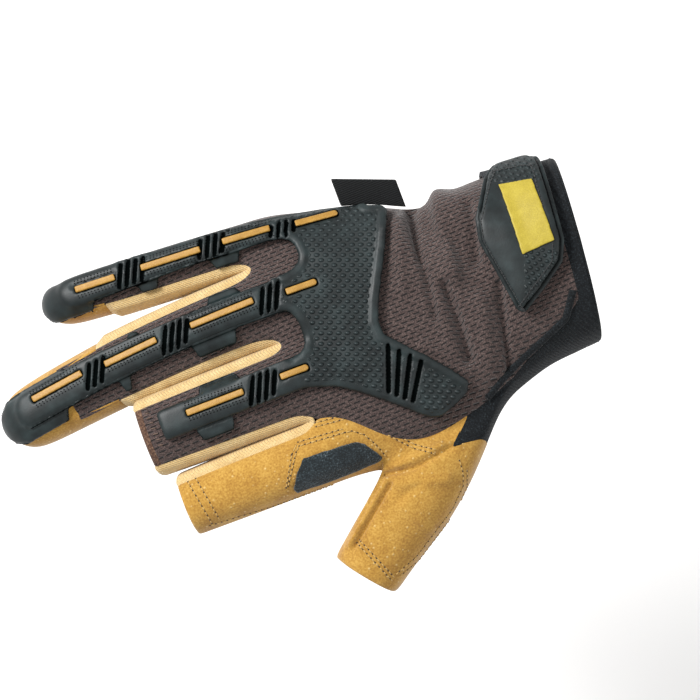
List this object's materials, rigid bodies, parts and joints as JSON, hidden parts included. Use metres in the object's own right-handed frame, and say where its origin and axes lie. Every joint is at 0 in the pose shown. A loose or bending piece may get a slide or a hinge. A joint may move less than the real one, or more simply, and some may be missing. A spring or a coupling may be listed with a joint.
{
  "type": "impact glove",
  "caption": "Right-hand impact glove in its worn shape: knit mesh back with a moulded rubber knuckle and finger guard, leather palm, cut-off thumb, index and middle fingers, strapped wrist.",
  "frame": {"origin": "middle of the wrist opening", "axes": "+X out of the wrist opening to the forearm, so the fingers point to -X; -Y to the thumb's side; +Z out of the back of the hand"},
  "size_m": [0.2111, 0.1418, 0.0591],
  "materials": {
    "brown_mesh": "open knit mesh",
    "tan_leather": "suede side out",
    "black_stretch": "brushed stretch knit",
    "beige_knit": "fine knit",
    "brown_binding": "woven binding",
    "moulded_rubber": "matt, small raised pimples",
    "gold_rubber": "smooth, satin",
    "black_suede": "flocked suede",
    "black_webbing": "woven",
    "black_woven": "woven label cloth"
  },
  "bodies": {
    "root": {"back_mesh": "brown_mesh", "palm_leather": "tan_leather", "index_thumb_leather": "tan_leather", "stretch_panel": "black_stretch", "cuff_band": "black_stretch", "fourchette_middle_index": "beige_knit", "fourchette_ring_middle": "beige_knit", "fourchette_pinky_ring": "beige_knit", "middle_hem": "brown_binding", "knuckle_guard": "moulded_rubber", "inlay_bar_1": "gold_rubber", "inlay_bar_2": "gold_rubber", "inlay_bar_3": "gold_rubber", "inlay_bar_4": "gold_rubber", "inlay_bar_5": "gold_rubber", "inlay_bar_6": "gold_rubber", "inlay_bar_7": "gold_rubber", "inlay_bar_8": "gold_rubber", "inlay_bar_9": "gold_rubber", "inlay_bar_10": "gold_rubber", "saddle_patch": "black_suede", "wrist_strap": "black_webbing", "strap_tab": "moulded_rubber", "tab_plate": "gold_rubber", "side_label": "black_woven"}
  },
  "joints": []
}
